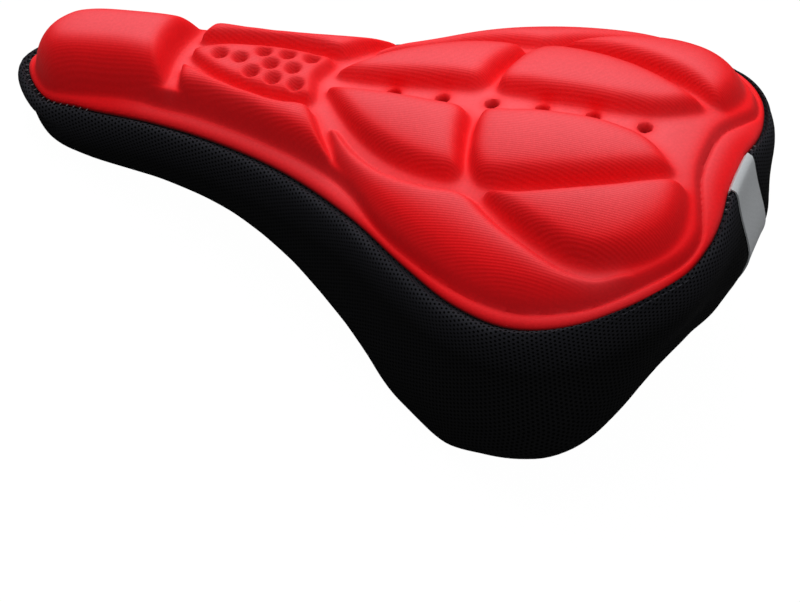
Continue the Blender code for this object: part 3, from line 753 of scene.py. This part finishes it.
skirt, along, across = unit_grid("mesh_skirt", STATIONS, ROWS - 1)
column = np.rint(along * STATIONS).astype(int)
row = np.rint(across * (ROWS - 1)).astype(int)
set_points(skirt, rings[column, row])
write_map(skirt, SEAM_LENGTH * column / STATIONS, run_marks[column, row])
merge_and_face_out(skirt, 0)
thicken(skirt, "Cloth thickness", FABRIC, -1.0)
bpy.ops.object.shade_smooth_by_angle(angle=math.radians(60))
skirt.data.transform(tip)

# %% [markdown]
# ## The elastic in the hem
#
# A round elastic runs in the turned hem and draws the skirt under the saddle. It is a tube
# that follows the middle of the hem's channel.

# %% Elastic
SIDES = 10
elastic, along, across = unit_grid("elastic_in_hem", STATIONS, SIDES)
core = np.array([tuple(p) for p in cord_line])
forward = np.roll(core[:-1], -1, 0) - np.roll(core[:-1], 1, 0)
forward = np.vstack([forward, forward[:1]])
forward /= np.linalg.norm(forward, axis=1)[:, None]
side = np.cross(forward, np.array([0.0, 0.0, 1.0]))
side /= np.linalg.norm(side, axis=1)[:, None]
above = np.cross(side, forward)
column = np.rint(along * STATIONS).astype(int)
turn = 2 * math.pi * across
set_points(elastic, core[column] + ELASTIC_RADIUS * (np.cos(turn)[:, None] * side[column]
                                                     + np.sin(turn)[:, None] * above[column]))
merge_and_face_out(elastic, 2)
bpy.ops.object.shade_smooth()
elastic.data.transform(tip)
print("elastic:", len(elastic.data.polygons), "faces")

# %% [markdown]
# ## The reflective strip
#
# A woven strip with a reflective face covers the join of the skirt at the back. It lies on the
# outside of the skirt, so it uses the same cross-sections, a hair further out.

# %% Strip
STRIP_WIDTH, STRIP_LENGTH = 20 * MM, 75 * MM
STRIP_COLUMNS, STRIP_ROWS, STRIP_STEPS = 16, 44, 90
ON_WALL = slice(2, 18)
CLEAR_OF_SKIRT, TAPE = 0.35 * MM, 0.6 * MM


def wall_line(distance):
    """Points down the outside of the skirt's wall at one distance round the seam."""
    return along_curve(skirt_points(distance)[0][ON_WALL], STRIP_STEPS)[0]


distances = STRIP_WIDTH * (np.arange(STRIP_COLUMNS + 1) / STRIP_COLUMNS - 0.5)
lines = [(wall_line(d), wall_line(d + 1 * MM)) for d in distances]
strip, along, across = unit_grid("reflective_strip_cloth", STRIP_COLUMNS, STRIP_ROWS)
spots = []
for column, v in zip(np.rint(along * STRIP_COLUMNS).astype(int), across):
    line, ahead = lines[column]
    k = v * (STRIP_STEPS - 1)
    a = min(int(k), STRIP_STEPS - 2)
    here = line[a] * (1 - (k - a)) + line[a + 1] * (k - a)
    normal = np.cross(line[a + 1] - line[a], ahead[a] - line[a])
    spots.append(here + normal / np.linalg.norm(normal) * CLEAR_OF_SKIRT)
set_points(strip, np.array(spots))
write_map(strip, STRIP_WIDTH * (along - 0.5), STRIP_LENGTH * (across - 0.5))
merge_and_face_out(strip, 2)
thicken(strip, "Tape thickness", TAPE, 1.0)
bpy.ops.object.shade_smooth_by_angle(angle=math.radians(50))
strip.data.transform(tip)
print("strip:", len(strip.data.polygons), "faces")

# %% [markdown]
# ## Stitches
#
# The thread shows as short specks where the skirt meets the rim at the nose and beside the
# strip. One stitch is shaped from a sphere and copied along the seam.

# %% Stitches along the open parts of the seam
STITCH_PITCH = 3.0 * MM
STITCH_SIZE = (0.28 * MM, 0.75 * MM, 0.25 * MM)
STITCH_OUT, STITCH_DROP = 0.9 * MM, 1.5 * MM
NOSE_STITCHES_END = -0.105
BESIDE_STRIP = (-17.5, -14.5, -11.8, 11.8, 14.5, 17.5)
bpy.ops.object.select_all(action="DESELECT")
bpy.ops.mesh.primitive_uv_sphere_add(segments=8, ring_count=5, radius=1.0)
stitches = bpy.context.object
stitches.name = "seam_stitches"
distances = np.arange(STITCH_PITCH / 2, SEAM_LENGTH, STITCH_PITCH)
places = [d for d in distances if on_seam(d)[0] < NOSE_STITCHES_END]
places += [(d * MM) % SEAM_LENGTH for d in BESIDE_STRIP]
one = stitches.data.copy()
builder = bmesh.new()
for distance in places:
    (x, y), (out_x, out_y) = on_seam(distance), seam_outward(distance)
    spot = Matrix(((-out_y, out_x, 0, x + out_x * STITCH_OUT),
                   (out_x, out_y, 0, y + out_y * STITCH_OUT),
                   (0, 0, 1, float(rim_height(x, y)) - STITCH_DROP), (0, 0, 0, 1)))
    placed = spot @ Matrix.Diagonal((*STITCH_SIZE, 1.0))
    one.transform(placed)
    builder.from_mesh(one)
    one.transform(placed.inverted())
builder.to_mesh(stitches.data)
builder.free()
bpy.data.meshes.remove(one)
bpy.ops.object.shade_smooth()
stitches.data.transform(tip)
print("stitches:", len(places))

# %% [markdown]
# ## Finishes
#
# Each finish is a small node network. An effect such as a knit, a mesh or uneven dye is a node
# group that is built once. A small class keeps the lines short.

# %% Node helpers


def new_group(name, inputs, outputs):
    """Empty shader group with named number, colour and vector sockets."""
    group = bpy.data.node_groups.new(name, "ShaderNodeTree")
    kinds = {"f": "NodeSocketFloat", "c": "NodeSocketColor", "v": "NodeSocketVector"}
    for label, kind, value in inputs:
        socket = group.interface.new_socket(name=label, in_out="INPUT", socket_type=kinds[kind])
        if value is not None:
            socket.default_value = value
    for label, kind in outputs:
        group.interface.new_socket(name=label, in_out="OUTPUT", socket_type=kinds[kind])
    return group, group.nodes.new("NodeGroupInput"), group.nodes.new("NodeGroupOutput")


class Net:
    """Short way to add and join the nodes of one tree."""

    def __init__(self, tree):
        self.tree = tree

    def add(self, kind):
        return self.tree.nodes.new("ShaderNode" + kind)

    def put(self, socket, value):
        if isinstance(value, bpy.types.NodeSocket):
            self.tree.links.new(value, socket)
        elif value is not None:
            socket.default_value = value

    def fill(self, node, **values):
        """Give the inputs of a node their values, and return the node."""
        for name, value in values.items():
            self.put(node.inputs[name], value)
        return node

    def math(self, operation, *values, clamp=False):
        node = self.add("Math")
        node.operation = operation
        node.use_clamp = clamp
        for socket, value in zip(node.inputs, values):
            self.put(socket, value)
        return node.outputs[0]

    def mix(self, factor, a, b, kind="RGBA"):
        node = self.add("Mix")
        node.data_type = kind
        wanted = [s for s in node.inputs if s.enabled]
        for socket, value in zip(wanted, (factor, a, b)):
            self.put(socket, value)
        return next(s for s in node.outputs if s.enabled)

    def axes(self, vector):
        node = self.add("SeparateXYZ")
        self.put(node.inputs[0], vector)
        return node.outputs

    def noise(self, vector, scale, detail=2.0):
        node = self.fill(self.add("TexNoise"), Vector=vector, Scale=scale, Detail=detail)
        return node.outputs["Fac"]

    def bump(self, height, strength, distance):
        node = self.fill(self.add("Bump"), Height=height, Strength=strength, Distance=distance)
        return node.outputs["Normal"]

    def coordinates(self, name="Object"):
        if name == "Object":
            return self.add("TexCoord").outputs["Object"]
        node = self.add("UVMap")
        node.uv_map = name
        return node.outputs["UV"]

    def attribute(self, name):
        node = self.add("Attribute")
        node.attribute_name = name
        return node.outputs["Fac"]

    def use(self, group, **values):
        node = self.add("Group")
        node.node_tree = group
        return self.fill(node, **values).outputs


def new_material(name, roughness, specular=0.5, sheen=0.0, tint=(1, 1, 1)):
    material = bpy.data.materials.new(name)
    material.use_nodes = True
    shader = material.node_tree.nodes["Principled BSDF"]
    for label, value in (("Roughness", roughness), ("Specular IOR Level", specular),
                         ("Sheen Weight", sheen), ("Sheen Roughness", 0.45),
                         ("Sheen Tint", (*tint, 1.0))):
        shader.inputs[label].default_value = value
    return material, Net(material.node_tree), shader


def dress(piece, material):
    piece.data.materials.clear()
    piece.data.materials.append(material)
    print(material.name, "on", piece.name)


print("node helpers ready")

# %% [markdown]
# ## Ribs, mesh and uneven dye
#
# The knit is a wave across its rows, broken by a shorter wave along them, with a fine grain for
# the fibres. The mesh adds three waves at 60 degrees, whose peaks fall on a honeycomb and become
# its holes. Uneven dye brightens and darkens a colour a little.

# %% Ribbed knit
ribbed_knit, start, end = new_group(
    "ribbed knit", [("Vector", "v", None), ("Pitch", "f", 0.0013), ("Waver", "f", 0.25)],
    [("Height", "f"), ("Grain", "f")])
net = Net(ribbed_knit)
x, y, _ = net.axes(start.outputs["Vector"])
sway = net.math("SUBTRACT", net.noise(start.outputs["Vector"], 60.0), 0.5)
sway = net.math("MULTIPLY", sway, net.math("MULTIPLY", start.outputs["Waver"],
                                           start.outputs["Pitch"]))
turns = net.math("DIVIDE", net.math("ADD", y, sway), start.outputs["Pitch"])
rib = net.math("COSINE", net.math("MULTIPLY", turns, 2 * math.pi))
rib = net.math("MULTIPLY_ADD", rib, 0.5, 0.5)
shift = net.math("MULTIPLY", net.math("FLOOR", turns), 0.37)
loops = net.math("DIVIDE", x, net.math("MULTIPLY", start.outputs["Pitch"], 1.15))
loops = net.math("COSINE", net.math("MULTIPLY", net.math("ADD", loops, shift), 2 * math.pi))
loops = net.math("MULTIPLY_ADD", loops, 0.13, 0.87)
grain = net.noise(start.outputs["Vector"], 2600.0, 3.0)
knit = net.math("MULTIPLY", rib, loops)
net.put(end.inputs["Height"], net.math("MULTIPLY_ADD", grain, 0.30, knit))
net.put(end.inputs["Grain"], grain)
print("group:", ribbed_knit.name)

# %% Honeycomb mesh
honeycomb, start, end = new_group(
    "honeycomb mesh", [("Vector", "v", None), ("Pitch", "f", 0.0018)],
    [("Height", "f"), ("Hole", "f")])
net = Net(honeycomb)
x, y, _ = net.axes(start.outputs["Vector"])
total = None
for degrees in (0, 60, 120):
    angle = math.radians(degrees)
    line = net.math("ADD", net.math("MULTIPLY", x, math.cos(angle)),
                    net.math("MULTIPLY", y, math.sin(angle)))
    wave = net.math("COSINE", net.math("DIVIDE", line, net.math(
        "MULTIPLY", start.outputs["Pitch"], math.sqrt(3) / 2 / (2 * math.pi))))
    total = wave if total is None else net.math("ADD", total, wave)
hole = net.math("MULTIPLY_ADD", total, 0.9, -0.55, clamp=True)
yarn = net.noise(start.outputs["Vector"], 3200.0, 2.0)
ridge = net.math("SUBTRACT", 1.0, hole)
net.put(end.inputs["Height"], net.math("MULTIPLY_ADD", yarn, 0.25, ridge))
net.put(end.inputs["Hole"], hole)
print("group:", honeycomb.name)

# %% Uneven dye
uneven_colour, start, end = new_group(
    "uneven colour", [("Vector", "v", None), ("Colour", "c", None), ("Amount", "f", 0.08)],
    [("Colour", "c")])
net = Net(uneven_colour)
broad = net.noise(start.outputs["Vector"], 14.0, 3.0)
fine = net.noise(start.outputs["Vector"], 900.0, 2.0)
both = net.math("ADD", net.math("MULTIPLY", broad, 0.6), net.math("MULTIPLY", fine, 0.4))
gain = net.math("MULTIPLY_ADD", net.math("SUBTRACT", both, 0.5),
                net.math("MULTIPLY", start.outputs["Amount"], 4.0), 1.0)
scale = net.add("VectorMath")
scale.operation = "SCALE"
net.put(scale.inputs[0], start.outputs["Colour"])
net.put(scale.inputs["Scale"], gain)
net.put(end.inputs["Colour"], scale.outputs[0])
print("group:", uneven_colour.name)

# %% [markdown]
# ## Red knit
#
# The face of the top is a fine ribbed knit that was hot pressed onto the foam. On the pads its
# ribs stand proud, and their valleys are painted darker, a painted shade. In the grooves and
# on the rim the mould pressed it flat, so it is smoother there. Where the top is level it is
# painted paler, a painted highlight of the light from above, and steep sides keep the deep red.
# The holes and the rear crease get painted shade. Attributes on the mesh say where, and the
# same finish turns dark on the lining.

# %% Red knit
red, net, shader = new_material("red ribbed knit", 0.5, 0.14, sheen=0.02, tint=(1.0, 0.3, 0.35))
place = net.coordinates()
pad = net.attribute("on_pad")
knit = net.use(ribbed_knit, Vector=place, Pitch=0.0008, Waver=0.45)
proud = net.math("MULTIPLY_ADD", pad, 0.18, 0.03)
# Painted highlight: level tops are painted paler pink, as light from above would make them.
painted_top_highlight = net.attribute("level")
valley = net.mix(painted_top_highlight, (0.74, 0.0, 0.001, 1), (0.74, 0.048, 0.060, 1))
crest = net.mix(painted_top_highlight, (0.84, 0.003, 0.007, 1), (0.79, 0.085, 0.100, 1))
# Painted shade: on the pads the rib valleys are painted darker red than the crests.
rib_shade_mix = net.mix(pad, 0.8, knit["Height"], kind="FLOAT")
colour = net.mix(rib_shade_mix, valley, crest)
# Painted shade: a darker red in the holes and the rear crease.
colour = net.mix(net.attribute("painted_hollow_shade"), colour, (0.30, 0.001, 0.004, 1))
colour = net.use(uneven_colour, Vector=place, Colour=colour, Amount=0.13)["Colour"]
colour = net.mix(net.attribute("lining"), colour, (0.02, 0.02, 0.022, 1))
net.put(shader.inputs["Base Color"], colour)
net.put(shader.inputs["Roughness"], net.math("MULTIPLY_ADD", knit["Grain"], 0.2, 0.5))
net.put(shader.inputs["Normal"], net.bump(knit["Height"], proud, 0.00035))
dress(red_top, red)

# %% [markdown]
# ## Black spacer mesh
#
# The skirt's cloth is a spacer knit with a honeycomb of small holes. The pattern follows the
# cloth, so it reads the skirt's own map, in metres along the seam and down the side. Near the
# seam the yarn is painted a little paler, a painted highlight where its roll faces the light.

# %% Black mesh
# The paler band near the seam is a painted highlight of the roll that faces the light.
LIT_ROLL_TO, LIT_ROLL_FADE = 0.012, 0.018
black, net, shader = new_material("black spacer mesh", 0.8, 0.03)
cloth_map = net.coordinates("cloth")
comb = net.use(honeycomb, Vector=cloth_map, Pitch=0.0017)
past = net.math("SUBTRACT", net.axes(cloth_map)[1], LIT_ROLL_TO)
lit_roll = net.math("SUBTRACT", 1.0, net.math("DIVIDE", past, LIT_ROLL_FADE, clamp=True))
yarn = net.mix(lit_roll, (0.007, 0.007, 0.0076, 1), (0.023, 0.023, 0.028, 1))
colour = net.mix(comb["Hole"], yarn, (0.0006, 0.0006, 0.0006, 1))
colour = net.use(uneven_colour, Vector=net.coordinates(), Colour=colour,
             Amount=0.12)["Colour"]
net.put(shader.inputs["Base Color"], colour)
net.put(shader.inputs["Normal"], net.bump(comb["Height"], 0.9, 0.0006))
dress(skirt, black)

# %% [markdown]
# ## Elastic, reflective cloth and thread
#
# The elastic is wound with fine yarn. The strip is a plain weave, much finer than the mesh, with
# a smoother face. The thread is twisted, which a very fine noise is enough to show.

# %% Elastic
rubber, net, shader = new_material("black elastic", 0.6)
place = net.coordinates()
wound = net.noise(place, 1500.0, 1.0)
net.put(shader.inputs["Base Color"], net.mix(wound, (0.014, 0.014, 0.015, 1),
                                             (0.035, 0.035, 0.037, 1)))
net.put(shader.inputs["Normal"], net.bump(wound, 0.5, 0.0003))
dress(elastic, rubber)

# %% Reflective cloth
WEAVE_PITCH = 0.0007
grey, net, shader = new_material("reflective grey cloth", 0.42)
cloth_map = net.coordinates("cloth")
x, y, _ = net.axes(cloth_map)
over, under = (net.math("COSINE", net.math("MULTIPLY", way, 2 * math.pi / WEAVE_PITCH))
               for way in (x, y))
weave = net.math("MULTIPLY", over, under)
weave = net.math("MULTIPLY_ADD", weave, 0.5, 0.5)
colour = net.mix(weave, (0.46, 0.48, 0.50, 1), (0.56, 0.58, 0.60, 1))
colour = net.use(uneven_colour, Vector=net.coordinates(), Colour=colour,
             Amount=0.05)["Colour"]
net.put(shader.inputs["Base Color"], colour)
net.put(shader.inputs["Normal"], net.bump(weave, 0.3, 0.0002))
dress(strip, grey)

# %% Thread
thread, net, shader = new_material("pale thread", 0.7)
twist = net.noise(net.coordinates(), 4000.0, 1.0)
net.put(shader.inputs["Base Color"], net.mix(twist, (0.04, 0.035, 0.038, 1),
                                             (0.13, 0.11, 0.12, 1)))
dress(stitches, thread)

# %% [markdown]
# ## Each piece in the place of its solid
#
# Each new piece takes the place of one plain solid, and all of them ride on the one body.

# %% Hide the plain solids and put the new pieces on the body
for piece, node in ((red_top, "top_pad"), (skirt, "skirt"), (elastic, "hem_elastic"),
                    (strip, "reflective_strip")):
    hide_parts(node)
    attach(piece, "root")
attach(stitches, "root")

# %% [markdown]
# ## Floor and light
#
# A white floor and two broad lamps keep the colours plain. The main lamp stands beyond the
# nose and to the far side, so the near slopes of the pads fall into shade and show the
# ribs. The floor looks white to the camera, but throws little light back onto the cover.

# %% Floor
bpy.ops.object.select_all(action="DESELECT")
bpy.ops.mesh.primitive_plane_add(size=6, location=(0, 0, -0.0005))
floor = bpy.context.object
floor.name = "white_floor"
white, net, shader = new_material("white floor", 0.9)
shader.inputs["Base Color"].default_value = (0.20, 0.20, 0.20, 1)
seen = net.add("LightPath").outputs["Is Camera Ray"]
bright = net.add("Emission")
bright.inputs["Strength"].default_value = 1.10
blend = net.add("MixShader")
net.put(blend.inputs[0], net.math("MULTIPLY", seen, 0.9))
net.put(blend.inputs[1], shader.outputs[0])
net.put(blend.inputs[2], bright.outputs[0])
net.put(white.node_tree.nodes["Material Output"].inputs["Surface"], blend.outputs[0])
dress(floor, white)

# %% World and lamps
AMBIENT, LAMP_POWER = 0.35, 8.6
scene = bpy.context.scene
scene.view_settings.view_transform = "Standard"
world = bpy.data.worlds.new("soft room")
scene.world = world
world.use_nodes = True
net = Net(world.node_tree)
back = world.node_tree.nodes["Background"]
path = net.add("LightPath")
seen = net.math("MAXIMUM", path.outputs["Is Camera Ray"], path.outputs["Is Transmission Ray"])
back.inputs["Color"].default_value = (1, 1, 1, 1)
net.put(back.inputs["Strength"], net.math("MULTIPLY_ADD", seen, 1 - AMBIENT, AMBIENT))


def lamp(name, place, target, size, power):
    """Square area lamp that faces a target."""
    bpy.ops.object.select_all(action="DESELECT")
    bpy.ops.object.light_add(type="AREA", location=place)
    light = bpy.context.object
    light.name = name
    light.data.size = size
    light.data.energy = power
    light.rotation_euler = (Vector(target) - Vector(place)).to_track_quat("-Z", "Y").to_euler()


lamp("main lamp", (-0.50, 0.80, 0.95), (0, 0, 0.05), 0.8, LAMP_POWER)
lamp("top lamp", (-0.20, 0.15, 1.25), (0, 0, 0.05), 0.9, LAMP_POWER)
print("lamps and world set")

# %% [markdown]
# ## Camera
#
# The view is from the left and above, through a long lens. It is set up in the level axes and
# tipped with the cover.

# %% Camera
LENS, SENSOR = 126.0, 36.0
AZIMUTH, ELEVATION, ROLL = (math.radians(a) for a in (28.6215, 41.8363, -10.4741))
DISTANCE = 1.080583
TARGET = Vector((-0.004427, 0.0, -0.104849))
back = Vector((math.sin(AZIMUTH) * math.cos(ELEVATION), -math.cos(AZIMUTH) * math.cos(ELEVATION),
               math.sin(ELEVATION)))
right = (-back).cross(Vector((0, 0, 1))).normalized()
upward = right.cross(-back)
turned = right * math.cos(ROLL) + upward * math.sin(ROLL)
raised_up = upward * math.cos(ROLL) - right * math.sin(ROLL)
view = Matrix((turned, raised_up, back)).transposed().to_4x4()
view.translation = TARGET + back * DISTANCE
bpy.ops.object.camera_add()
camera = bpy.context.object
camera.name = "camera"
camera.matrix_world = tip @ view
camera.data.sensor_width = SENSOR
camera.data.lens = LENS
camera.data.clip_start = 0.05
scene.camera = camera
print("camera stands at", [round(c, 3) for c in camera.matrix_world.translation])
